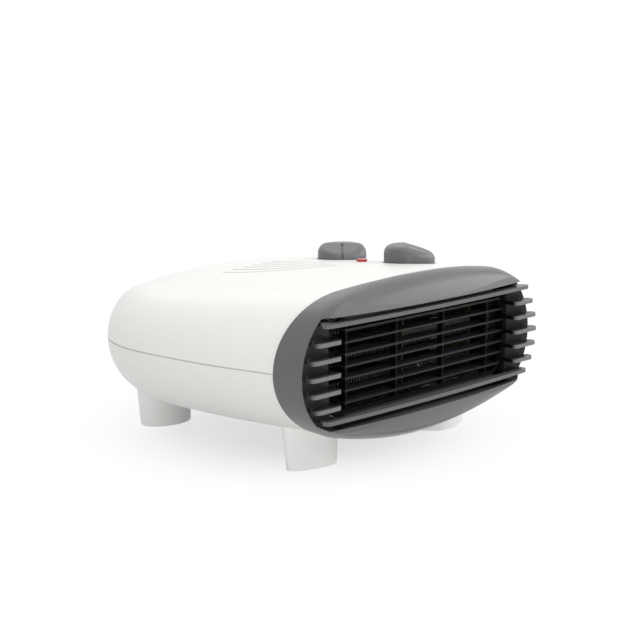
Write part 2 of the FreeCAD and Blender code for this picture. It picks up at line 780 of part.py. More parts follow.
dome_start = "rear_y + groove"
dome_stations = [dome_start] + [f"rear_y + {share} * (tail_y - rear_y)" for share in (0.36, 0.64, 0.82)]
hollow_dome_stations = ["rear_y - 2"] + [f"rear_y + {share} * (tail_y - rear_y) - wall" for share in (0.36, 0.64, 0.82)]
dome = fuse("dome", [half_pod(f"dome_{upper}", dome_stations, upper) for upper in (True, False)])
dome_hollow = fuse("dome_hollow", [half_pod(f"dome_hollow_{upper}", hollow_dome_stations, upper, "wall", "wall")
                                   for upper in (True, False)])
collar = fuse("collar", [half_pod(f"collar_{upper}", ["rear_y - collar_depth", "rear_y + 2 * groove"], upper,
                                  "wall + fit") for upper in (True, False)])
collar_hole = fuse("collar_hole", [half_pod(f"collar_hole_{upper}", ["rear_y - collar_depth - 1", "rear_y + wall"], upper,
                                            "wall + fit + spigot_wall") for upper in (True, False)])
gland_seat = rod("gland_seat", "gland_flange_radius + 1", "y", "rear_y", "gland_face_y", z="gland_z")
inlet_slots = []
for index in range(4):
    middle = f"seam_z - 1 + {index} * inlet_pitch"
    inlet_slots.append(block(f"inlet_slot_{index}", ("-inlet_half", "inlet_half"), ("rear_y - 10", "tail_y + 5"),
                             (f"{middle} - inlet_slot / 2", f"{middle} + inlet_slot / 2")))
gland_hole = rod("gland_hole", "gland_radius + clear_fit", "y", "rear_y - 10", "tail_y + 5", z="gland_z")
inlet_shell = fuse("inlet_shell", [cut("dome_skin", dome, [dome_hollow]), cut("collar_ring", collar, [collar_hole])])
node("rear_grille", cut("rear_grille", fuse("inlet_with_seat", [inlet_shell, gland_seat]), inlet_slots + [gland_hole]))

gland_tube = rod("gland_tube", "gland_radius", "y", "rear_y - 1", "gland_face_y", z="gland_z")
gland_flange = rod("gland_flange_disc", "gland_flange_radius", "y", "gland_face_y", "gland_face_y + gland_flange",
                   z="gland_z")
gland_bore = rod("gland_bore_rod", "gland_bore", "y", "rear_y - 5", "tail_y + 10", z="gland_z")
node("cord_gland", cut("cord_gland", fuse("gland_solid", [gland_tube, gland_flange]), [gland_bore]))

# Feet: tapered rounded blocks, hollowed for their screws, seated on the keel



def cross_recess(name, face_z, x, y):
    arms = []
    for index, (wide, deep) in enumerate((("cross_span", "cross_width"), ("cross_width", "cross_span"))):
        arms.append(block(f"{name}_arm_{index}", (f"{x} - {wide} / 2", f"{x} + {wide} / 2"),
                          (f"{y} - {deep} / 2", f"{y} + {deep} / 2"), (f"{face_z} - 1", f"{face_z} + cross_depth")))
    return fuse(name, arms)


foot_screws = []
for name, (x, y, top) in foot_spots.items():
    body = new_body(f"{name}_block")
    drawings = []
    for level, flare in (("0", "0"), (top, "foot_flare")):
        drawing = sketch(body, f"{name}_{flare}", "XY_Plane", level)
        drawings.append(rounded_rectangle(drawing, x, y, f"foot_length / 2 + {flare}", f"foot_depth / 2 + {flare}",
                                          "foot_rounding"))
    loft(body, f"{name}_loft", drawings, ruled=True)
    recess = rod(f"{name}_recess", "screw_head_radius + 2 * clear_fit", "z", "-1", "foot_recess", x, y)
    passage = rod(f"{name}_passage", "screw_radius + clear_fit", "z", "-1", top, x, y)
    node(name, cut(name, body, [forms[False], recess, passage]))
    head = rod(f"{name}_screw_head", "screw_head_radius", "z", "foot_recess - screw_head", "foot_recess", x, y)
    shank = rod(f"{name}_screw_shank", "screw_radius", "z", "foot_recess", "foot_recess + foot_screw_length", x, y)
    slot = cross_recess(f"{name}_screw_cross", "foot_recess - screw_head", x, y)
    foot_screws.append(cut(f"{name}_screw", fuse(f"{name}_screw_blank", [head, shank]), [slot]))
node("foot_screws", group("foot_screws", foot_screws))

shell_screws = []
for index, (x, y) in enumerate(shell_screw_spots):
    head = rod(f"shell_screw_head_{index}", "screw_head_radius", "z", "shell_screw_seat - screw_head",
               "shell_screw_seat", x, y)
    shank = rod(f"shell_screw_shank_{index}", "screw_radius", "z", "shell_screw_seat", screw_tip, x, y)
    slot = cross_recess(f"shell_screw_cross_{index}", "shell_screw_seat - screw_head", x, y)
    shell_screws.append(cut(f"shell_screw_{index}", fuse(f"shell_screw_blank_{index}", [head, shank]), [slot]))
node("shell_screws", group("shell_screws", shell_screws))

# Heater: sheet metal housing on two flanges, mica boards, coils, cut-out and fuse

inner_bottom = "housing_bottom_z + sheet_thick"
inner_top = "housing_top_z - sheet_thick"
housing_y = ("housing_front_y", "housing_back_y")
housing_outer = block("housing_outer", ("-housing_half", "housing_half"), housing_y,
                      ("housing_bottom_z", "housing_top_z"))
housing_inner = block("housing_inner", ("-housing_half + sheet_thick", "housing_half - sheet_thick"),
                      ("housing_front_y - 1", "housing_back_y + 1"), (inner_bottom, inner_top))
flanges = []
flange_holes = []
heater_screws = []
for index, (x, y) in enumerate(heater_spots):
    flanges.append(block(f"flange_{index}", (f"{x} - flange_half", f"{x} + flange_half"),
                         ("housing_back_y", "housing_back_y + flange_reach"), ("housing_bottom_z", inner_bottom)))
    flange_holes.append(rod(f"flange_hole_{index}", "heater_screw_radius + clear_fit", "z", "housing_bottom_z - 1",
                            f"{inner_bottom} + 1", x, y))
    head = rod(f"heater_screw_head_{index}", "2 * heater_screw_radius", "z", inner_bottom,
               f"{inner_bottom} + screw_head", x, y)
    shank = rod(f"heater_screw_shank_{index}", "heater_screw_radius", "z",
                "housing_bottom_z - heater_screw_length", inner_bottom, x, y)
    heater_screws.append(fuse(f"heater_screw_{index}", [head, shank]))
housing_tube = cut("housing_tube", housing_outer, [housing_inner])
node("heater_housing", cut("heater_housing", fuse("housing_flanged", [housing_tube] + flanges), flange_holes))
node("heater_screws", group("heater_screws", heater_screws))

mica_y = ("housing_front_y + mica_margin", "housing_back_y - mica_margin")
liner_top = f"{inner_bottom} + mica_thick"
node("mica_liner", block("mica_liner", ("-housing_half + sheet_thick", "housing_half - sheet_thick"), mica_y,
                         (inner_bottom, liner_top)))
middle_y = "(housing_front_y + housing_back_y) / 2"
middle_z = f"(({liner_top}) + ({inner_top})) / 2"
coil_lines = [(f"{middle_y} + {side} * coil_pitch_y / 2", f"{middle_z} + {level} * coil_pitch_z")
              for side in (-1, 1) for level in (-1, 0, 1)]
for word, side in (("left", -1), ("middle", 0), ("right", 1)):
    x = f"{side} * (housing_half - mica_inset)"
    board = block(f"mica_{word}", (f"{x} - mica_thick / 2", f"{x} + mica_thick / 2"), mica_y, (liner_top, inner_top))
    holes = [rod(f"mica_{word}_hole_{index}", "coil_radius + clear_fit", "x", f"{x} - 2", f"{x} + 2", y=y, z=z)
             for index, (y, z) in enumerate(coil_lines)]
    node(f"mica_board_{word}", cut(f"mica_board_{word}", board, holes))
coils = [rod(f"heating_coil_{index}", "coil_radius", "x", "-(housing_half - mica_inset) - coil_overhang", "housing_half - mica_inset + coil_overhang", y=y, z=z)
         for index, (y, z) in enumerate(coil_lines)]
node("heating_coils", group("heating_coils", coils))
node("thermal_cutout", rod("thermal_cutout", "cutout_radius", "z", "housing_top_z", "housing_top_z + cutout_height",
                           "cutout_x", middle_y))
node("thermal_fuse", rod("thermal_fuse", "fuse_radius", "x", "mica_thick / 2", "housing_half - mica_inset - mica_thick / 2",
                         y="housing_front_y + mica_margin + fuse_radius", z="fuse_z"))

# Fan shroud: plate that fits the pod, ring round the fan, bar that carries the motor

bar_back = "ring_back_y + bar_thick"
shroud_plate = common("shroud_wall", inner_form, slab("shroud_slab", "shroud_y", "shroud_y + shroud_plate"))
ring = rod("ring", "ring_radius", "y", "shroud_y", "ring_back_y", z="axis_z")
ring_hole = rod("ring_hole", "ring_radius - ring_wall", "y", "shroud_y - 1", "ring_back_y", z="axis_z")
bar = block("motor_bar", ("-bar_half", "bar_half"), ("ring_back_y", bar_back),
            ("axis_z - ring_radius", "axis_z + ring_radius"))
shaft_pass = rod("shaft_pass", "shaft_radius + 1", "y", "ring_back_y - 1", f"{bar_back} + 1", z="axis_z")
bolt_lines = [f"axis_z + {side} * bolt_z" for side in (-1, 1)]
bar_threads = [rod(f"bar_thread_{index}", "bolt_radius + thread_fit", "y", "ring_back_y - 1", f"{bar_back} + 1", z=z)
               for index, z in enumerate(bolt_lines)]
node("fan_shroud", cut("fan_shroud", fuse("shroud_solid", [cut("shroud_opened", fuse("shroud_ring", [shroud_plate, ring]),
                                                               [ring_hole]), bar]), [shaft_pass] + bar_threads))

# Shaded pole motor behind the bar

front_leg = f"{bar_back} + bracket_thick"
stack_front = f"{front_leg} + leg_length"
stack_back = f"{stack_front} + stack"
rear_strap = f"{stack_back} + leg_length"
motor_back = f"{rear_strap} + bracket_thick"


def bolt_holes(name, start, end):
    return [rod(f"{name}_{index}", "bolt_radius + clear_fit", "y", start, end, z=z)
            for index, z in enumerate(bolt_lines)]


stator_block = block("stator_block", ("-stator_left", "stator_right"), (stack_front, stack_back),
                     ("axis_z - stator_half_height", "axis_z + stator_half_height"))
stator_bore = rod("stator_bore", "bore_radius", "y", f"{stack_front} - 1", f"{stack_back} + 1", z="axis_z")
stator_window = block("stator_window", ("-window_far", "-window_near"), (f"{stack_front} - 1", f"{stack_back} + 1"),
                      ("axis_z - window_half", "axis_z + window_half"))
node("motor_stator", cut("motor_stator", stator_block, [stator_bore, stator_window]
                         + bolt_holes("stator_bolt_hole", f"{stack_front} - 1", f"{stack_back} + 1")))

coil_block = block("coil_block", ("-stator_left - coil_wrap", "-window_far + coil_wrap"),
                   (f"{stack_front} - coil_wrap", f"{stack_back} + coil_wrap"), ("axis_z - coil_half", "axis_z + coil_half"))
coil_core = block("coil_core", ("-stator_left - running_fit", "-window_far + running_fit"),
                  (f"{stack_front} - running_fit", f"{stack_back} + running_fit"),
                  ("axis_z - coil_half - 1", "axis_z + coil_half + 1"))
node("motor_coil", cut("motor_coil", coil_block, [coil_core]))


def bracket(label, strap, legs, boss):
    strap_plate = block(f"{label}_strap", ("-bar_half", "bar_half"), strap,
                        ("axis_z - stator_half_height", "axis_z + stator_half_height"))
    pieces = [strap_plate, rod(f"{label}_boss", "bearing_boss_radius", "y", *boss, z="axis_z")]
    for index, (low, high) in enumerate((("-stator_half_height", "-leg_inner"), ("leg_inner", "stator_half_height"))):
        pieces.append(block(f"{label}_leg_{index}", ("-bar_half", "bar_half"), legs,
                            (f"axis_z + {low}", f"axis_z + {high}")))
    seat = rod(f"{label}_seat", "bearing_radius + thread_fit", "y", *boss, z="axis_z")
    passage = rod(f"{label}_passage", "shaft_radius + 1", "y", f"{strap[0]} - 1", f"{strap[1]} + 1", z="axis_z")
    holes = bolt_holes(f"{label}_bolt_hole", f"({strap[0]}) - 15", f"({strap[1]}) + 15")
    node(label, cut(label, fuse(f"{label}_solid", pieces), [seat, passage] + holes))


def bearing(label, ends):
    outer = rod(f"{label}_outer", "bearing_radius", "y", *ends, z="axis_z")
    bore = rod(f"{label}_bore", "shaft_radius + running_fit", "y", f"{ends[0]} - 1", f"{ends[1]} + 1", z="axis_z")
    node(label, cut(label, outer, [bore]))


front_boss = (front_leg, f"{front_leg} + bearing_length")
rear_boss = (f"{rear_strap} - bearing_length", rear_strap)
bracket("motor_front_bracket", (bar_back, front_leg), (front_leg, stack_front), front_boss)
bracket("motor_rear_bracket", (rear_strap, motor_back), (stack_back, rear_strap), rear_boss)
bearing("front_bearing", front_boss)
bearing("rear_bearing", rear_boss)

motor_bolts = []
for index, z in enumerate(bolt_lines):
    shank = rod(f"motor_bolt_shank_{index}", "bolt_radius", "y", "ring_back_y + 0.3", motor_back, z=z)
    head = rod(f"motor_bolt_head_{index}", "2 * bolt_radius", "y", motor_back, f"{motor_back} + screw_head", z=z)
    motor_bolts.append(fuse(f"motor_bolt_{index}", [shank, head]))
node("motor_bolts", group("motor_bolts", motor_bolts))

# Turning parts of the fan

rotor_ends = (f"{stack_front} - running_fit", f"{stack_back} + running_fit")
rotor_drum = rod("rotor_drum", "bore_radius - air_gap", "y", *rotor_ends, z="axis_z")
rotor_bore = rod("rotor_bore", "shaft_radius + thread_fit", "y", f"{stack_front} - 1", f"{stack_back} + 1", z="axis_z")
node("motor_rotor", cut("motor_rotor", rotor_drum, [rotor_bore]))
node("motor_shaft", rod("motor_shaft", "shaft_radius", "y", "shaft_front_y", motor_back, z="axis_z"))

fan_body = new_body("fan_body")
hub_drawing = sketch(fan_body, "hub_sketch", "XZ_Plane", "-(hub_front_y + hub_length)")
hub_drawing.addGeometry(Part.Circle(FreeCAD.Vector(), FreeCAD.Vector(0, 0, 1), size("hub_radius")), False)
hub_drawing.addConstraint(Sketcher.Constraint("Coincident", 0, 3, -1, 1))
pin(hub_drawing, "Radius", (0,), "hub_radius")
pad(fan_body, "hub", hub_drawing, "hub_length")
vane_middle = "hub_front_y + hub_length / 2"
vane_ends = []
for word in ("root", "tip"):
    along = f"cos(vane_{word}_angle * 1 deg)"
    across = f"sin(vane_{word}_angle * 1 deg)"
    chord = f"(vane_{word}_chord / 2)"
    corners = [(f"{vane_middle} + {a} * {chord} * {across} - {b} * vane_thick / 2 * {along}",
                f"{a} * {chord} * {along} + {b} * vane_thick / 2 * {across}")
               for a, b in ((-1, -1), (1, -1), (1, 1), (-1, 1))]
    vane_ends.append(outline(sketch(fan_body, f"vane_{word}", "YZ_Plane", f"vane_{word}"), corners))
vane = loft(fan_body, "vane", vane_ends, ruled=True)
fan_body.Tip = vane
pattern = fan_body.newObject("PartDesign::PolarPattern", "vane_pattern")
pattern.Originals = [vane]
pattern.Axis = (origin_part(fan_body, "Y_Axis"), [""])
pattern.Angle = 360
bind(pattern, {"Occurrences": "vane_count"})
fan_body.Tip = pattern
bind(fan_body, {"Placement.Base.z": "axis_z"})
hub_bore = rod("hub_bore", "shaft_radius + thread_fit", "y", "hub_front_y - 1", "hub_front_y + hub_length + 1", z="axis_z")
node("fan", cut("fan", fan_body, [hub_bore]))

# Controls under the knob wells

control_screws = []


def control(label, name, case):
    y, floor = knob_spots[name]
    under = f"{floor} - floor_wall"
    wide, deep = ("ear_width / 2", "ear_half") if name == "mode" else ("ear_half", "ear_width / 2")
    ears = block(f"{label}_ears", (f"knob_x - {wide}", f"knob_x + {wide}"), (f"{y} - {deep}", f"{y} + {deep}"),
                 (f"{under} - ear_thick", under))
    holes = [rod(f"{label}_bore", "spindle_radius + running_fit", "z", "seam_z", sky, "knob_x", y)]
    for index, (x, spot, level) in enumerate(control_screw_spots(name)):
        holes.append(rod(f"{label}_hole_{index}", "control_screw_radius + clear_fit", "z", "seam_z", sky, x, spot))
        head = rod(f"{label}_screw_head_{index}", "2 * control_screw_radius", "z",
                   f"{under} - ear_thick - screw_head / 2", f"{under} - ear_thick", x, spot)
        shank = rod(f"{label}_screw_shank_{index}", "control_screw_radius", "z", f"{under} - ear_thick",
                    f"{under} + floor_wall / 2", x, spot)
        control_screws.append(fuse(f"{label}_screw_{index}", [head, shank]))
    node(label, cut(label, fuse(f"{label}_solid", [case, ears]), holes))


mode_under = "mode_floor_z - floor_wall"
thermostat_under = "thermostat_floor_z - floor_wall"
switch_case = block("switch_case", ("knob_x - switch_side / 2", "knob_x + switch_side / 2"),
                    ("mode_y - switch_side / 2", "mode_y + switch_side / 2"),
                    (f"{mode_under} - switch_height", mode_under))
thermostat_case = rod("thermostat_case", "thermostat_radius", "z", f"{thermostat_under} - thermostat_height",
                      thermostat_under, "knob_x", "thermostat_y")
control("rotary_switch", "mode", switch_case)
control("thermostat", "thermostat", thermostat_case)
node("control_screws", group("control_screws", control_screws))

# Knobs and their spindles: cap that slopes down to its pointer groove


def pocket(body, name, drawing, length):
    feature = body.newObject("PartDesign::Pocket", name)
    feature.Profile = drawing
    return bind(feature, {"Length": length})


def knob(label, name, depth, pointer_angle):
    y, floor = knob_spots[name]
    base = f"{floor} + knob_gap"
    body = new_body(f"{label}_cap")
    circle = sketch(body, f"{label}_circle", "XY_Plane", "0")
    circle.addGeometry(Part.Circle(FreeCAD.Vector(), FreeCAD.Vector(0, 0, 1), size("knob_radius")), False)
    circle.addConstraint(Sketcher.Constraint("Coincident", 0, 3, -1, 1))
    pin(circle, "Radius", (0,), "knob_radius")
    pad(body, f"{label}_drum", circle, "knob_height")
    reach = "knob_radius + 2"
    fall = "(knob_height - knob_low_side) / (knob_radius - knob_ridge)"
    slope = outline(sketch(body, f"{label}_slope_sketch", "XZ_Plane", reach), [
        ("knob_ridge", "knob_height"), (reach, f"knob_low_side - 2 * {fall}"), (reach, "knob_height + 2"),
        ("knob_ridge", "knob_height + 2")])
    sloped = pocket(body, f"{label}_slope", slope, f"2 * ({reach})")
    doc.recompute()
    shoulders = [f"Edge{index}" for index, edge in enumerate(sloped.Shape.Edges, start=1)
                 if edge.BoundBox.ZMin > size("knob_low_side") / 2 and edge.Length > size("knob_radius")]
    rounding = body.newObject("PartDesign::Fillet", f"{label}_rounding")
    rounding.Base = (sloped, shoulders)
    bind(rounding, {"Radius": "knob_rounding"})
    groove = outline(sketch(body, f"{label}_pointer_sketch", "XZ_Plane", "pointer_width / 2"), [
        ("knob_ridge", "knob_height - pointer_depth"), ("0", f"knob_height - pointer_depth + knob_ridge * {fall}"),
        ("knob_radius - knob_rounding", f"knob_low_side - pointer_depth + knob_rounding * {fall}"),
        ("knob_radius - pointer_depth", "knob_low_side - knob_rounding"), ("knob_radius - pointer_depth", "-1"),
        (reach, "-1"), (reach, "knob_height + 1"), ("knob_ridge", "knob_height + 1")])
    pointer = pocket(body, f"{label}_pointer", groove, "pointer_width")
    body.Tip = pointer
    body.Placement.Rotation = FreeCAD.Rotation(FreeCAD.Vector(0, 0, 1), pointer_angle)
    bind(body, {"Placement.Base.x": "knob_x", "Placement.Base.y": y, "Placement.Base.z": base})
    socket = rod(f"{label}_socket", "spindle_radius + thread_fit", "z", f"{base} - 1", f"{base} + spindle_grip + 0.5",
                 "knob_x", y)
    node(label, cut(label, body, [socket]))
    node(f"{name}_spindle", rod(f"{name}_spindle", "spindle_radius", "z", f"{floor} - floor_wall - {depth}",
                                f"{base} + spindle_grip", "knob_x", y))


knob("mode_knob", "mode", "switch_height", 225)
knob("thermostat_knob", "thermostat", "thermostat_height", 315)

# Pilot lamp and terminal block

lens_post = rod("lens_post", "lamp_radius", "z", "lamp_base_z", "lamp_top_z", "lamp_x", "lamp_y")
lens_flange = rod("lens_flange", "lamp_radius + lamp_flange", "z", "lamp_base_z", "lamp_base_z + lamp_flange_thick",
                  "lamp_x", "lamp_y")
node("pilot_lens", fuse("pilot_lens", [lens_post, lens_flange]))
node("neon_lamp", rod("neon_lamp", "neon_radius", "z", "lamp_base_z - neon_length", "lamp_base_z", "lamp_x", "lamp_y"))
node("terminal_block", block("terminal_block",
                             ("terminal_x - terminal_length / 2", "terminal_x + terminal_length / 2"),
                             ("terminal_y - terminal_depth / 2", "terminal_y + terminal_depth / 2"),
                             ("terminal_z", "terminal_z + terminal_height")))

# Check and write

doc.recompute()
faults = [thing.Name for thing in doc.Objects if "Invalid" in thing.State or "Error" in thing.State]
faults += [thing.Label for thing in nodes if thing.Shape.isNull() or not thing.Shape.isValid() or not thing.Shape.Solids]
if faults:
    raise RuntimeError(f"failed: {faults}")
os.makedirs("parts", exist_ok=True)
for thing in nodes:
    thing.Shape.exportStep(f"parts/{thing.Label}.step")
    print(thing.Label, len(thing.Shape.Solids), round(thing.Shape.Volume))
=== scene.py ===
import bpy
import math
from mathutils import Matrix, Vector


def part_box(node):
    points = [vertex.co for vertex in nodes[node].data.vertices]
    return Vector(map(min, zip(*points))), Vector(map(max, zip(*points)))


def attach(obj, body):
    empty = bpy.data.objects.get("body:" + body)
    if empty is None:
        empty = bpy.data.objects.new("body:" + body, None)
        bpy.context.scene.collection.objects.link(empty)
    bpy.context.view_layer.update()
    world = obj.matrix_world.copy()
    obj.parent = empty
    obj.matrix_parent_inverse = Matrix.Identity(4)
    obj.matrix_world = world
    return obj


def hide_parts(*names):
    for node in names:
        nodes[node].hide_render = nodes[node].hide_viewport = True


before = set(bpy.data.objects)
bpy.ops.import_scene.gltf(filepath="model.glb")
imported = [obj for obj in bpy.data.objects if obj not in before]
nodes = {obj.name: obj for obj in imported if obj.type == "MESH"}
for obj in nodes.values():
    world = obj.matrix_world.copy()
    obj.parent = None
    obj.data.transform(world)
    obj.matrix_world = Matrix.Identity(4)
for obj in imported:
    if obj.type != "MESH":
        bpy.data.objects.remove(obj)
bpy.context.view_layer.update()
mm = 0.001
print("frame loaded:", len(nodes), "nodes")


# colours are written as sRGB hex and turned to linear here
def linear(hexText):
    channels = []
    for start in (1, 3, 5):
        value = int(hexText[start:start + 2], 16) / 255
        channels.append(value / 12.92 if value <= 0.04045 else ((value + 0.055) / 1.055) ** 2.4)
    return (*channels, 1.0)


# one node with its settings and its incoming links
def addNode(tree, kind, settings=None, links=None):
    node = tree.nodes.new(kind)
    for key, value in (settings or {}).items():
        if isinstance(key, int) or key in node.inputs:
            node.inputs[key].default_value = value
        else:
            setattr(node, key, value)
    for key, source in (links or {}).items():
        tree.links.new(source, node.inputs[key])
    return node


# a fresh material: its tree, its shader and the place on the piece that patterns read
def newMaterial(name):
    material = bpy.data.materials.new(name)
    material.use_nodes = True
    tree = material.node_tree
    tree.nodes.clear()
    shader = addNode(tree, "ShaderNodeBsdfPrincipled")
    addNode(tree, "ShaderNodeOutputMaterial", links={"Surface": shader.outputs["BSDF"]})
    place = addNode(tree, "ShaderNodeTexCoord").outputs["Object"]
    return material, tree, shader, place


# a finished material that gets paint by place: its tree, its shader, its tone so far and its axes
def openMaterial(material):
    tree = material.node_tree
    shader = next(node for node in tree.nodes if node.type == "BSDF_PRINCIPLED")
    plain = shader.inputs["Base Color"].links[0].from_socket
    place = addNode(tree, "ShaderNodeTexCoord").outputs["Object"]
    axes = addNode(tree, "ShaderNodeSeparateXYZ", links={0: place}).outputs
    return tree, shader, plain, axes


def giveFinish(material, *nodeNames):
    for nodeName in nodeNames:
        mesh = nodes[nodeName].data
        mesh.materials.clear()
        mesh.materials.append(material)


# moulded plastics: a cloudy tone, a fine spark-eroded grain and a satin skin
plastics = {
    "shellAbs": {"tones": ("#e9e9e6", "#eeeeeb"), "cloudMm": 60, "grainMm": 0.9,
                 "grainDepthMm": 0.010, "roughness": (0.34, 0.42), "ior": 1.53},
    "footAbs": {"tones": ("#f0f1ee", "#f4f5f2"), "cloudMm": 25, "grainMm": 0.9,
                "grainDepthMm": 0.012, "roughness": (0.40, 0.48), "ior": 1.53},
    "bezelAbs": {"tones": ("#565858", "#5d5f5e"), "cloudMm": 40, "grainMm": 0.8,
                 "grainDepthMm": 0.012, "roughness": (0.26, 0.34), "ior": 1.53},
    "knobAbs": {"tones": ("#585a5b", "#5f6162"), "cloudMm": 14, "grainMm": 0.7,
                "grainDepthMm": 0.012, "roughness": (0.34, 0.42), "ior": 1.53},
    "shroudPolypropylene": {"tones": ("#141515", "#1b1c1c"), "cloudMm": 30, "grainMm": 1.0,
                            "grainDepthMm": 0.020, "roughness": (0.48, 0.58), "ior": 1.49},
    "fanPolypropylene": {"tones": ("#151515", "#1c1c1c"), "cloudMm": 18, "grainMm": 1.0,
                         "grainDepthMm": 0.015, "roughness": (0.42, 0.52), "ior": 1.49},
    "phenolicBlack": {"tones": ("#191817", "#242220"), "cloudMm": 6, "grainMm": 0.6,
                      "grainDepthMm": 0.015, "roughness": (0.40, 0.55), "ior": 1.60},
    # the fuse sleeve is toned dark as painted shade for the inside of the heater
    "glassFibreSleeveInShade": {"tones": ("#37322b", "#454038"), "cloudMm": 5, "grainMm": 0.5,
                         "grainDepthMm": 0.020, "roughness": (0.65, 0.75), "ior": 1.52},
    "gridEnamel": {"tones": ("#101113", "#16171a"), "cloudMm": 12, "grainMm": 0.7,
                   "grainDepthMm": 0.018, "roughness": (0.55, 0.68), "ior": 1.45},
}
plasticSkin = {"cloudDetail": 3.0, "cloudSpan": (0.3, 0.7), "grainDetail": 2.0}


def mouldedPlastic(name):
    look = plastics[name]
    material, tree, shader, place = newMaterial(name)
    cloud = addNode(tree, "ShaderNodeTexNoise",
                    {"Scale": 1 / (look["cloudMm"] * mm), "Detail": plasticSkin["cloudDetail"]},
                    {"Vector": place})
    tone = addNode(tree, "ShaderNodeMix", {"data_type": "RGBA", 6: linear(look["tones"][0]),
                                           7: linear(look["tones"][1])}, {0: cloud.outputs["Fac"]})
    polish = addNode(tree, "ShaderNodeMapRange",
                     {"From Min": plasticSkin["cloudSpan"][0], "From Max": plasticSkin["cloudSpan"][1],
                      "To Min": look["roughness"][0], "To Max": look["roughness"][1]},
                     {"Value": cloud.outputs["Fac"]})
    grain = addNode(tree, "ShaderNodeTexNoise",
                    {"Scale": 1 / (look["grainMm"] * mm), "Detail": plasticSkin["grainDetail"]},
                    {"Vector": place})
    bump = addNode(tree, "ShaderNodeBump", {"Strength": 1.0, "Distance": look["grainDepthMm"] * mm},
                   {"Height": grain.outputs["Fac"]})
    tree.links.new(tone.outputs[2], shader.inputs["Base Color"])
    tree.links.new(polish.outputs["Result"], shader.inputs["Roughness"])
    tree.links.new(bump.outputs["Normal"], shader.inputs["Normal"])
    shader.inputs["IOR"].default_value = look["ior"]
    return material


# the arc grooves on the top get painted shade: a darker tone along them
grooveShadeLook = {"tone": "#c0c1ba", "centreMm": (23.5, 33.75), "outerMm": 66.0, "pitchMm": 9.0,
              "halfMm": (1.0, 0.7), "reachMm": (19.5, 68.0), "degrees": (-174.0, -110.0),
              "topMm": 85.0}


def paintedGrooveShade(material):
    tree, shader, plain, axes = openMaterial(material)
    across, along = [addNode(tree, "ShaderNodeMath", {"operation": "SUBTRACT", 1: centre * mm},
                             {0: axes[axis]}).outputs[0]
                     for axis, centre in zip("XY", grooveShadeLook["centreMm"])]
    offset = addNode(tree, "ShaderNodeCombineXYZ", links={"X": across, "Y": along})
    reach = addNode(tree, "ShaderNodeVectorMath", {"operation": "LENGTH"},
                    {0: offset.outputs[0]}).outputs["Value"]
    past = addNode(tree, "ShaderNodeMath", {"operation": "SUBTRACT", 1: grooveShadeLook["outerMm"] * mm},
                   {0: reach})
    away = addNode(tree, "ShaderNodeMath",  # distance to the nearest groove's middle
                   {"operation": "PINGPONG", 1: grooveShadeLook["pitchMm"] / 2 * mm},
                   {0: past.outputs[0]})
    near = addNode(tree, "ShaderNodeMapRange", {"interpolation_type": "SMOOTHSTEP",
                                                "From Min": grooveShadeLook["halfMm"][0] * mm,
                                                "From Max": grooveShadeLook["halfMm"][1] * mm},
                   {"Value": away.outputs[0]})
    turn = addNode(tree, "ShaderNodeMath", {"operation": "ARCTAN2"},
                   {0: along, 1: across}).outputs[0]
    limits = [(axes["Z"], "GREATER_THAN", grooveShadeLook["topMm"] * mm),
              (reach, "GREATER_THAN", grooveShadeLook["reachMm"][0] * mm),
              (reach, "LESS_THAN", grooveShadeLook["reachMm"][1] * mm),
              (turn, "GREATER_THAN", math.radians(grooveShadeLook["degrees"][0])),
              (turn, "LESS_THAN", math.radians(grooveShadeLook["degrees"][1]))]
    share = near.outputs["Result"]
    for source, operation, limit in limits:
        holds = addNode(tree, "ShaderNodeMath", {"operation": operation, 1: limit}, {0: source})
        share = addNode(tree, "ShaderNodeMath", {"operation": "MULTIPLY"},
                        {0: share, 1: holds.outputs[0]}).outputs[0]
    # painted shade along the grooves
    tone = addNode(tree, "ShaderNodeMix", {"data_type": "RGBA", 7: linear(grooveShadeLook["tone"])},
                   {0: share, 6: plain})
    tree.links.new(tone.outputs[2], shader.inputs["Base Color"])
    return material


# the recess behind the ribs gets painted shade, near black: what is deep enough inside the opening's
# rounded ends
recessShadeLook = {"tone": "#0d0e0e", "depthMm": (-108.0, -104.5), "endCentreMm": 57.0,
              "midHeightMm": 61.5, "endMm": (38.0, 35.0), "facing": -0.7, "specular": (0.5, 0.14)}
# the stub ribs get a painted highlight on their front edges and painted shade behind them
stubLightAndShadeLook = {"tone": "#6a6c6c", "riseMm": 21.0, "depthMm": (-109.3, -105.6), "backMm": -101.9}
# the panels between the stub ribs get painted shade, a dark grey
panelShadeLook = {"tone": "#232424", "sideMm": 76.5, "riseMm": (28.0, 22.0)}
# the flat front edge of the upper lip gets painted light, a little lighter than the rest
edgeLightLook = {"tone": "#6b6d6d", "facing": -0.93, "aboveMm": 92.8}


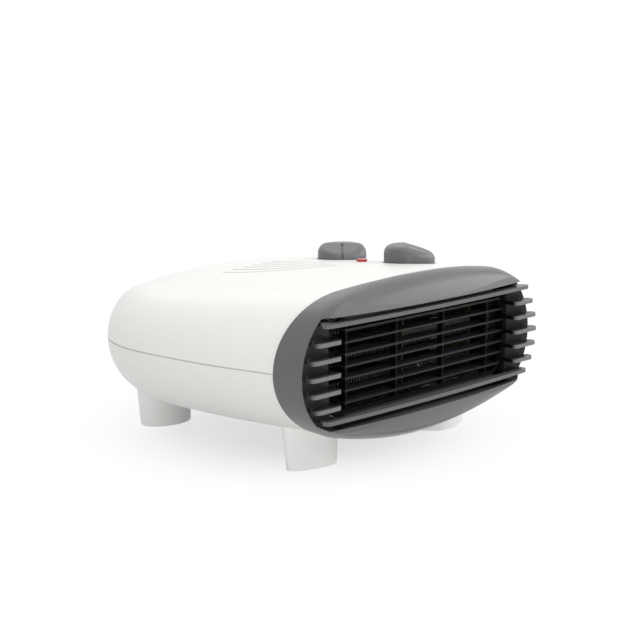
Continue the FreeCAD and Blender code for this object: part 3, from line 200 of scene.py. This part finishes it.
def paintedRecessShade(material):
    tree, shader, plain, axes = openMaterial(material)
    facing = addNode(tree, "ShaderNodeTexCoord").outputs["Normal"]
    normal = addNode(tree, "ShaderNodeSeparateXYZ", links={0: facing}).outputs
    side = addNode(tree, "ShaderNodeMath", {"operation": "ABSOLUTE"}, {0: axes["X"]}).outputs[0]
    across = addNode(tree, "ShaderNodeMath",
                     {"operation": "SUBTRACT", 1: recessShadeLook["endCentreMm"] * mm}, {0: side})
    beyond = addNode(tree, "ShaderNodeMath", {"operation": "MAXIMUM", 1: 0.0}, {0: across.outputs[0]})
    rise = addNode(tree, "ShaderNodeMath",
                   {"operation": "SUBTRACT", 1: recessShadeLook["midHeightMm"] * mm}, {0: axes["Z"]})
    offset = addNode(tree, "ShaderNodeCombineXYZ", links={"X": beyond.outputs[0], "Z": rise.outputs[0]})
    reach = addNode(tree, "ShaderNodeVectorMath", {"operation": "LENGTH"},
                    {0: offset.outputs[0]}).outputs["Value"]
    height = addNode(tree, "ShaderNodeMath", {"operation": "ABSOLUTE"},
                     {0: rise.outputs[0]}).outputs[0]
    shares = {}
    softSteps = {"inside": (reach, recessShadeLook["endMm"]), "deep": (axes["Y"], recessShadeLook["depthMm"]),
                 "behind": (axes["Y"], stubLightAndShadeLook["depthMm"]), "middle": (height, panelShadeLook["riseMm"])}
    for name, (source, (start, end)) in softSteps.items():
        shares[name] = addNode(tree, "ShaderNodeMapRange",
                               {"interpolation_type": "SMOOTHSTEP",
                                "From Min": start * mm, "From Max": end * mm},
                               {"Value": source}).outputs["Result"]
    hardSteps = {"forward": (normal["Y"], "LESS_THAN", recessShadeLook["facing"]),
                 "level": (height, "LESS_THAN", stubLightAndShadeLook["riseMm"] * mm),
                 "before": (axes["Y"], "LESS_THAN", stubLightAndShadeLook["backMm"] * mm),
                 "outer": (side, "GREATER_THAN", panelShadeLook["sideMm"] * mm),
                 "flat": (normal["Y"], "LESS_THAN", edgeLightLook["facing"]),
                 "upper": (axes["Z"], "GREATER_THAN", edgeLightLook["aboveMm"] * mm)}
    for name, (source, operation, limit) in hardSteps.items():
        shares[name] = addNode(tree, "ShaderNodeMath", {"operation": operation, 1: limit},
                               {0: source}).outputs[0]
    joined = {"held": ("MAXIMUM", "inside", "forward"), "hollow": ("MULTIPLY", "held", "deep"),
              "stub": ("MULTIPLY", "level", "before"), "shaded": ("MULTIPLY", "stub", "behind"),
              "black": ("MAXIMUM", "hollow", "shaded"), "panel": ("MULTIPLY", "outer", "middle"),
              "edge": ("MULTIPLY", "flat", "upper")}
    for name, (operation, first, second) in joined.items():
        shares[name] = addNode(tree, "ShaderNodeMath", {"operation": operation},
                               {0: shares[first], 1: shares[second]}).outputs[0]
    # painted light: the front-facing band of the upper lip is made lighter
    litEdge = addNode(tree, "ShaderNodeMix", {"data_type": "RGBA", 7: linear(edgeLightLook["tone"])},
                   {0: shares["edge"], 6: plain})
    # painted highlight on the front edges of the stub ribs
    litStubs = addNode(tree, "ShaderNodeMix", {"data_type": "RGBA", 7: linear(stubLightAndShadeLook["tone"])},
                   {0: shares["stub"], 6: litEdge.outputs[2]})
    # painted shade: near black deep in the recess, dark grey on the panels between the stub ribs
    dark = addNode(tree, "ShaderNodeMix", {"data_type": "RGBA", 6: linear(recessShadeLook["tone"]),
                                           7: linear(panelShadeLook["tone"])}, {0: shares["panel"]})
    tone = addNode(tree, "ShaderNodeMix", {"data_type": "RGBA"},
                   {0: shares["black"], 6: litStubs.outputs[2], 7: dark.outputs[2]})
    shine = addNode(tree, "ShaderNodeMapRange", {"To Min": recessShadeLook["specular"][0],
                                                 "To Max": recessShadeLook["specular"][1]},
                    {"Value": shares["black"]})
    tree.links.new(tone.outputs[2], shader.inputs["Base Color"])
    tree.links.new(shine.outputs["Result"], shader.inputs["Specular IOR Level"])
    return material


# the grid's border, its uprights and the blades' left ends get painted shade, near black and less
# shiny; the blades keep the enamel's dark grey
gridShadeLook = {"tone": "#060606", "pitchMm": 6.75, "midMm": 62.6, "halfMm": 0.72, "leftMm": -62.6,
             "specular": (0.10, 0.5)}


def paintedGridShade(material):
    tree, shader, plain, axes = openMaterial(material)
    rise = addNode(tree, "ShaderNodeMath", {"operation": "SUBTRACT", 1: gridShadeLook["midMm"] * mm},
                   {0: axes["Z"]})
    away = addNode(tree, "ShaderNodeMath",  # distance to the nearest blade's middle
                   {"operation": "PINGPONG", 1: gridShadeLook["pitchMm"] / 2 * mm},
                   {0: rise.outputs[0]})
    near = addNode(tree, "ShaderNodeMath", {"operation": "LESS_THAN", 1: gridShadeLook["halfMm"] * mm},
                   {0: away.outputs[0]})
    right = addNode(tree, "ShaderNodeMath",
                    {"operation": "GREATER_THAN", 1: gridShadeLook["leftMm"] * mm}, {0: axes["X"]})
    blade = addNode(tree, "ShaderNodeMath", {"operation": "MULTIPLY"},
                    {0: near.outputs[0], 1: right.outputs[0]})
    # painted shade: all but the blades right of the left end is near black
    tone = addNode(tree, "ShaderNodeMix", {"data_type": "RGBA", 6: linear(gridShadeLook["tone"])},
                   {0: blade.outputs[0], 7: plain})
    shine = addNode(tree, "ShaderNodeMapRange", {"To Min": gridShadeLook["specular"][0],
                                                 "To Max": gridShadeLook["specular"][1]},
                    {"Value": blade.outputs[0]})
    tree.links.new(tone.outputs[2], shader.inputs["Base Color"])
    tree.links.new(shine.outputs["Result"], shader.inputs["Specular IOR Level"])
    return material


giveFinish(paintedGrooveShade(mouldedPlastic("shellAbs")), "upper_shell", "lower_shell", "rear_grille")
footMaterial = mouldedPlastic("footAbs")
giveFinish(footMaterial, "front_left_foot", "front_right_foot", "rear_left_foot", "rear_right_foot")
giveFinish(paintedRecessShade(mouldedPlastic("bezelAbs")), "front_bezel")
giveFinish(mouldedPlastic("knobAbs"), "mode_knob", "thermostat_knob")
giveFinish(mouldedPlastic("shroudPolypropylene"), "fan_shroud", "cord_gland")
giveFinish(mouldedPlastic("fanPolypropylene"), "fan")
giveFinish(mouldedPlastic("phenolicBlack"), "thermal_cutout", "terminal_block", "rotary_switch",
           "thermostat")
giveFinish(mouldedPlastic("glassFibreSleeveInShade"), "thermal_fuse")
giveFinish(paintedGridShade(mouldedPlastic("gridEnamel")), "outlet_grid")
print("plastics and enamel done")


# metals: spangled zinc, turned steel, bronze, lacquered copper; cells shift tone and polish
metals = {
    # the galvanised sheet is toned far darker than bare zinc: painted shade for the inside of the
    # heater
    "galvanisedSheetInShade": {"tones": ("#454441", "#5b5a56"), "cellMm": 4.0, "roughness": (0.32, 0.50)},
    "zincScrew": {"tones": ("#b9bbbd", "#cfd0d2"), "cellMm": 0.8, "roughness": (0.25, 0.36)},
    "laminatedSteel": {"tones": ("#77797c", "#8d8f92"), "cellMm": 1.2, "roughness": (0.35, 0.48)},
    "sinteredBronze": {"tones": ("#9b7a46", "#b38f55"), "cellMm": 0.6, "roughness": (0.45, 0.60)},
    "enamelledCopper": {"tones": ("#8a4526", "#b0623a"), "cellMm": 0.9, "roughness": (0.28, 0.40)},
}


def cellMetal(name):
    look = metals[name]
    material, tree, shader, place = newMaterial(name)
    cells = addNode(tree, "ShaderNodeTexVoronoi", {"Scale": 1 / (look["cellMm"] * mm)},
                    {"Vector": place})
    shade = addNode(tree, "ShaderNodeSeparateColor", links={"Color": cells.outputs["Color"]})
    tone = addNode(tree, "ShaderNodeMix", {"data_type": "RGBA", 6: linear(look["tones"][0]),
                                           7: linear(look["tones"][1])}, {0: shade.outputs[0]})
    polish = addNode(tree, "ShaderNodeMapRange", {"To Min": look["roughness"][0],
                                                  "To Max": look["roughness"][1]},
                     {"Value": shade.outputs[1]})
    tree.links.new(tone.outputs[2], shader.inputs["Base Color"])
    tree.links.new(polish.outputs["Result"], shader.inputs["Roughness"])
    shader.inputs["Metallic"].default_value = 1.0
    return material


giveFinish(cellMetal("galvanisedSheetInShade"), "heater_housing", "motor_front_bracket",
           "motor_rear_bracket")
giveFinish(cellMetal("zincScrew"), "foot_screws", "shell_screws", "heater_screws", "control_screws",
           "motor_bolts")
giveFinish(cellMetal("laminatedSteel"), "motor_stator", "motor_rotor", "motor_shaft",
           "mode_spindle", "thermostat_spindle")
giveFinish(cellMetal("sinteredBronze"), "front_bearing", "rear_bearing")
giveFinish(cellMetal("enamelledCopper"), "motor_coil")
print("metals done")


# pressed mica board: brown, toned very dark as painted shade for the inside of the heater, with paler
# flakes lying in it
micaLook = {"board": "#261c12", "flake": "#3d3120", "flakeMm": 2.2, "roughness": 0.55}


def pressedMicaInShade():
    material, tree, shader, place = newMaterial("pressedMicaInShade")
    flakes = addNode(tree, "ShaderNodeTexVoronoi", {"Scale": 1 / (micaLook["flakeMm"] * mm)},
                     {"Vector": place})
    shade = addNode(tree, "ShaderNodeSeparateColor", links={"Color": flakes.outputs["Color"]})
    tone = addNode(tree, "ShaderNodeMix", {"data_type": "RGBA", 6: linear(micaLook["board"]),
                                           7: linear(micaLook["flake"])}, {0: shade.outputs[0]})
    tree.links.new(tone.outputs[2], shader.inputs["Base Color"])
    shader.inputs["Roughness"].default_value = micaLook["roughness"]
    return material


giveFinish(pressedMicaInShade(), "mica_liner", "mica_board_left", "mica_board_middle", "mica_board_right")


# red acrylic lens: tinted through, slightly cloudy
lensLook = {"deep": "#b30d14", "tint": "#d8131b", "cloudMm": 3.0, "roughness": 0.18,
            "clear": 0.25, "ior": 1.49}


def redAcrylic():
    material, tree, shader, place = newMaterial("redAcrylic")
    cloud = addNode(tree, "ShaderNodeTexNoise", {"Scale": 1 / (lensLook["cloudMm"] * mm)},
                    {"Vector": place})
    tone = addNode(tree, "ShaderNodeMix", {"data_type": "RGBA", 6: linear(lensLook["deep"]),
                                           7: linear(lensLook["tint"])}, {0: cloud.outputs["Fac"]})
    tree.links.new(tone.outputs[2], shader.inputs["Base Color"])
    shader.inputs["Roughness"].default_value = lensLook["roughness"]
    shader.inputs["Transmission Weight"].default_value = lensLook["clear"]
    shader.inputs["IOR"].default_value = lensLook["ior"]
    return material


giveFinish(redAcrylic(), "pilot_lens")


# lamp bulb: clear glass with an uneven draw
bulbLook = {"tint": "#f2e7dc", "waveMm": 2.0, "waveDepthMm": 0.05, "waveStrength": 0.4,
            "roughness": 0.05, "clear": 0.85, "ior": 1.50}


def bulbGlass():
    material, tree, shader, place = newMaterial("bulbGlass")
    waves = addNode(tree, "ShaderNodeTexNoise", {"Scale": 1 / (bulbLook["waveMm"] * mm)},
                    {"Vector": place})
    bump = addNode(tree, "ShaderNodeBump", {"Strength": bulbLook["waveStrength"],
                                            "Distance": bulbLook["waveDepthMm"] * mm},
                   {"Height": waves.outputs["Fac"]})
    tree.links.new(bump.outputs["Normal"], shader.inputs["Normal"])
    shader.inputs["Base Color"].default_value = linear(bulbLook["tint"])
    shader.inputs["Roughness"].default_value = bulbLook["roughness"]
    shader.inputs["Transmission Weight"].default_value = bulbLook["clear"]
    shader.inputs["IOR"].default_value = bulbLook["ior"]
    return material


giveFinish(bulbGlass(), "neon_lamp")


# resistance wire: nickel-chrome, browned by heat and toned darker still as painted shade for the inside
# of the heater
wireLook = {"scorchedAndShaded": "#3b3129", "bare": "#625950", "scorchMm": 9.0, "scorchDetail": 3.0,
            "metallic": 0.9, "roughness": 0.35}


def heatedWireInShade():
    material, tree, shader, place = newMaterial("heatedWireInShade")
    scorch = addNode(tree, "ShaderNodeTexNoise", {"Scale": 1 / (wireLook["scorchMm"] * mm),
                                                  "Detail": wireLook["scorchDetail"]},
                     {"Vector": place})
    tone = addNode(tree, "ShaderNodeMix", {"data_type": "RGBA", 6: linear(wireLook["scorchedAndShaded"]),
                                           7: linear(wireLook["bare"])}, {0: scorch.outputs["Fac"]})
    tree.links.new(tone.outputs[2], shader.inputs["Base Color"])
    shader.inputs["Metallic"].default_value = wireLook["metallic"]
    shader.inputs["Roughness"].default_value = wireLook["roughness"]
    return material


wireMaterial = heatedWireInShade()
giveFinish(wireMaterial, "heating_coils")
print("mica, lens, bulb and wire done")


# heating coils: one wound spring, copied to the six lines of the mica boards
coilLook = {"outerMm": 3.0, "wireMm": 0.4, "pitchMm": 2.2, "sides": 6, "steps": 18, "rows": 2,
            "levels": 3, "smoothDegrees": 50}


def windCoils():
    low, high = [Vector(corner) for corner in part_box("heating_coils")]
    outer = coilLook["outerMm"] * mm
    wire = coilLook["wireMm"] * mm
    pitch = coilLook["pitchMm"] * mm
    length = high.x - low.x
    turns = int((length - 2 * wire) / pitch)
    bpy.ops.object.select_all(action="DESELECT")
    bpy.ops.mesh.primitive_circle_add(vertices=coilLook["sides"], radius=wire, fill_type="NOTHING")
    spring = bpy.context.active_object
    bpy.ops.object.mode_set(mode="EDIT")
    bpy.ops.transform.translate(value=(0, outer - wire, 0))
    bpy.ops.object.mode_set(mode="OBJECT")
    winding = spring.modifiers.new("winding", "SCREW")
    winding.axis = "X"
    winding.screw_offset = pitch
    winding.iterations = turns
    winding.steps = coilLook["steps"]
    winding.render_steps = coilLook["steps"]
    winding.use_merge_vertices = False
    bpy.ops.object.modifier_apply(modifier="winding")
    bpy.ops.object.mode_set(mode="EDIT")
    bpy.ops.mesh.select_all(action="SELECT")
    bpy.ops.mesh.fill_holes(sides=coilLook["sides"])
    bpy.ops.mesh.normals_make_consistent(inside=False)
    bpy.ops.object.mode_set(mode="OBJECT")
    bpy.ops.object.shade_smooth_by_angle(angle=math.radians(coilLook["smoothDegrees"]))
    start = low.x + (length - turns * pitch) / 2
    places = []
    for row in range(coilLook["rows"]):
        for level in range(coilLook["levels"]):
            y = low.y + outer + row * (high.y - low.y - 2 * outer) / (coilLook["rows"] - 1)
            z = low.z + outer + level * (high.z - low.z - 2 * outer) / (coilLook["levels"] - 1)
            places.append((start, y, z))
    coils = [spring]
    while len(coils) < len(places):
        copy = spring.copy()
        copy.data = spring.data.copy()
        bpy.context.scene.collection.objects.link(copy)
        coils.append(copy)
    bpy.ops.object.select_all(action="DESELECT")
    for coil, place in zip(coils, places):
        coil.location = place
        coil.select_set(True)
    bpy.context.view_layer.objects.active = spring
    bpy.ops.object.transform_apply(location=True, rotation=True, scale=True)
    bpy.ops.object.join()
    spring.name = "woundCoils"
    spring.data.materials.clear()
    spring.data.materials.append(wireMaterial)
    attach(spring, "housing")
    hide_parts("heating_coils")


windCoils()
print("heating coils wound")


# feet: slim ovals, wider at the top, each with the recess for its screw
# the front ones are swept inwards to follow the shell's outline
footLook = {
    "front": {"centreMm": (60.7, -69.9), "halfMm": (16.3, 5.7), "turnDegrees": 13.4,
              "sweepMm": 6.4, "leanMm": 0.7, "topMm": 30.0, "screwMm": (60.5, -63.25)},
    "rear": {"centreMm": (60.1, 63.4), "halfMm": (17.2, 11.8), "turnDegrees": 5.9,
             "sweepMm": 0.0, "leanMm": 1.0, "topMm": 40.0, "screwMm": (63.5, 65.25)},
}
footShape = {"sides": 64, "flareMm": 2.0, "roundMm": 1.0, "roundSegments": 3, "roundDegrees": 50,
             "recessMm": 3.9, "recessDepthMm": 10.0, "recessSides": 48, "smoothDegrees": 40}


def ovalFoot(end, side, node, name):
    look = footLook[end]
    rings = []
    for sweep in sorted({0.0, look["sweepMm"]}):
        x = side * (look["centreMm"][0] - sweep)
        y = look["centreMm"][1] + sweep
        rings.append((x, y, 0.0, 0.0))
        rings.append((x + side * look["leanMm"], y + look["leanMm"], look["topMm"],
                      footShape["flareMm"]))
    bpy.ops.object.select_all(action="DESELECT")
    bpy.ops.mesh.primitive_circle_add(vertices=footShape["sides"], radius=1.0)
    foot = bpy.context.active_object
    bpy.ops.object.mode_set(mode="EDIT")
    for index, (x, y, z, flare) in enumerate(rings):
        if index:
            bpy.ops.mesh.select_all(action="DESELECT")
            bpy.ops.mesh.primitive_circle_add(vertices=footShape["sides"], radius=1.0)
        halves = [(half + flare) * mm for half in look["halfMm"]]
        bpy.ops.transform.resize(value=(halves[0], halves[1], 1.0), center_override=(0, 0, 0))
        bpy.ops.transform.rotate(value=math.radians(-side * look["turnDegrees"]), orient_axis="Z",
                                 center_override=(0, 0, 0))
        bpy.ops.transform.translate(value=(x * mm, y * mm, z * mm))
    bpy.ops.mesh.select_all(action="SELECT")
    bpy.ops.mesh.convex_hull()
    bpy.ops.mesh.normals_make_consistent(inside=False)
    bpy.ops.object.mode_set(mode="OBJECT")
    rounding = foot.modifiers.new("rounding", "BEVEL")
    rounding.width = footShape["roundMm"] * mm
    rounding.segments = footShape["roundSegments"]
    rounding.limit_method = "ANGLE"
    rounding.angle_limit = math.radians(footShape["roundDegrees"])
    bpy.ops.object.modifier_apply(modifier="rounding")
    # half of the drill stands below the floor, so the recess is open underneath
    bpy.ops.mesh.primitive_cylinder_add(
        vertices=footShape["recessSides"], radius=footShape["recessMm"] * mm,
        depth=2 * footShape["recessDepthMm"] * mm,
        location=(side * look["screwMm"][0] * mm, look["screwMm"][1] * mm, 0))
    drill = bpy.context.active_object
    recess = foot.modifiers.new("recess", "BOOLEAN")
    recess.operation = "DIFFERENCE"
    recess.object = drill
    bpy.ops.object.select_all(action="DESELECT")
    foot.select_set(True)
    bpy.context.view_layer.objects.active = foot
    bpy.ops.object.modifier_apply(modifier="recess")
    bpy.data.objects.remove(drill, do_unlink=True)
    bpy.ops.object.shade_smooth_by_angle(angle=math.radians(footShape["smoothDegrees"]))
    foot.name = name
    foot.data.materials.clear()
    foot.data.materials.append(footMaterial)
    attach(foot, "housing")
    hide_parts(node)


ovalFoot("front", -1, "front_left_foot", "frontLeftFoot")
ovalFoot("front", 1, "front_right_foot", "frontRightFoot")
ovalFoot("rear", -1, "rear_left_foot", "rearLeftFoot")
ovalFoot("rear", 1, "rear_right_foot", "rearRightFoot")
print("feet shaped")


# studio: pale floor, soft lamps, camera at the photo's place; places and sizes in metres
studio = {
    "floorMetres": 12.0, "floorTone": "#d2d2d2", "floorRoughness": 0.35,
    "glowTone": "#ffffff", "floorGlow": (0.64, 1.0), "glowMetres": (0.05, 0.15),
    "worldTone": "#ffffff", "worldLight": 0.75, "worldSeen": 1.0,
    "camera": (-0.5521, -0.56785, 0.2246), "forward": (0.6934, 0.6934, -0.1963),
    "lensMm": 72.35, "sensorMm": 36.0, "clipMetres": 0.01, "lampAim": (0.0, 0.0, 0.06),
}
lamps = {
    "topLamp": {"place": (0.05, -0.35, 1.35), "size": 1.3, "watts": 4.2},
    "frontLamp": {"place": (0.50, -1.30, 0.80), "size": 0.8, "watts": 5.6},
    "rightLamp": {"place": (1.3, -0.5, 0.7), "size": 0.9, "watts": 4.2},
    "backLamp": {"place": (0.4, 0.9, 1.1), "size": 1.0, "watts": 1.8},
    "lowLamp": {"place": (-0.9, -0.95, 0.12), "size": 0.5, "watts": 3.2},
}


# 1 where the camera looks, also by reflection or through glass, and 0 for light that bounces
def seenRays(tree):
    rays = addNode(tree, "ShaderNodeLightPath").outputs
    seen = rays["Is Camera Ray"]
    for name in ("Is Glossy Ray", "Is Transmission Ray"):
        seen = addNode(tree, "ShaderNodeMath", {"operation": "MAXIMUM"},
                       {0: seen, 1: rays[name]}).outputs[0]
    return seen


# the floor is seen as white, less so under the object, where its shadow stays
def addFloor():
    bpy.ops.object.select_all(action="DESELECT")
    bpy.ops.mesh.primitive_plane_add(size=studio["floorMetres"], location=(0, 0, 0))
    floor = bpy.context.active_object
    floor.name = "studioFloor"
    material, tree, shader, place = newMaterial("paleFloor")
    shader.inputs["Base Color"].default_value = linear(studio["floorTone"])
    shader.inputs["Roughness"].default_value = studio["floorRoughness"]
    reach = addNode(tree, "ShaderNodeVectorMath", {"operation": "LENGTH"}, {0: place})
    fade = addNode(tree, "ShaderNodeMapRange",
                   {"interpolation_type": "SMOOTHSTEP",
                    "From Min": studio["glowMetres"][0], "From Max": studio["glowMetres"][1],
                    "To Min": studio["floorGlow"][0], "To Max": studio["floorGlow"][1]},
                   {"Value": reach.outputs["Value"]})
    share = addNode(tree, "ShaderNodeMath", {"operation": "MULTIPLY"},
                    {0: seenRays(tree), 1: fade.outputs["Result"]})
    glow = addNode(tree, "ShaderNodeEmission", {"Color": linear(studio["glowTone"])})
    blend = addNode(tree, "ShaderNodeMixShader", links={0: share.outputs[0],
                                                        1: shader.outputs["BSDF"],
                                                        2: glow.outputs["Emission"]})
    output = next(node for node in tree.nodes if node.type == "OUTPUT_MATERIAL")
    tree.links.new(blend.outputs["Shader"], output.inputs["Surface"])
    floor.data.materials.append(material)


def addLamp(name):
    look = lamps[name]
    data = bpy.data.lights.new(name, "AREA")
    data.shape = "DISK"
    data.size = look["size"]
    data.energy = look["watts"]
    lamp = bpy.data.objects.new(name, data)
    bpy.context.scene.collection.objects.link(lamp)
    lamp.location = look["place"]
    direction = Vector(studio["lampAim"]) - Vector(look["place"])
    lamp.rotation_euler = direction.to_track_quat("-Z", "Y").to_euler()


def lightWorld():
    world = bpy.data.worlds.new("studioWorld")
    bpy.context.scene.world = world
    world.use_nodes = True
    tree = world.node_tree
    tree.nodes.clear()
    level = addNode(tree, "ShaderNodeMapRange", {"To Min": studio["worldLight"],
                                                 "To Max": studio["worldSeen"]},
                    {"Value": seenRays(tree)})
    sky = addNode(tree, "ShaderNodeBackground", {"Color": linear(studio["worldTone"])},
                  {"Strength": level.outputs["Result"]})
    addNode(tree, "ShaderNodeOutputWorld", links={"Surface": sky.outputs["Background"]})


def addCamera():
    data = bpy.data.cameras.new("photoCamera")
    data.sensor_width = studio["sensorMm"]
    data.sensor_fit = "HORIZONTAL"
    data.lens = studio["lensMm"]
    data.clip_start = studio["clipMetres"]
    camera = bpy.data.objects.new("photoCamera", data)
    bpy.context.scene.collection.objects.link(camera)
    camera.location = studio["camera"]
    camera.rotation_euler = Vector(studio["forward"]).to_track_quat("-Z", "Y").to_euler()
    bpy.context.scene.camera = camera


addFloor()
for lampName in lamps:
    addLamp(lampName)
lightWorld()
addCamera()
bpy.context.scene.view_settings.view_transform = "Standard"
print("studio done")
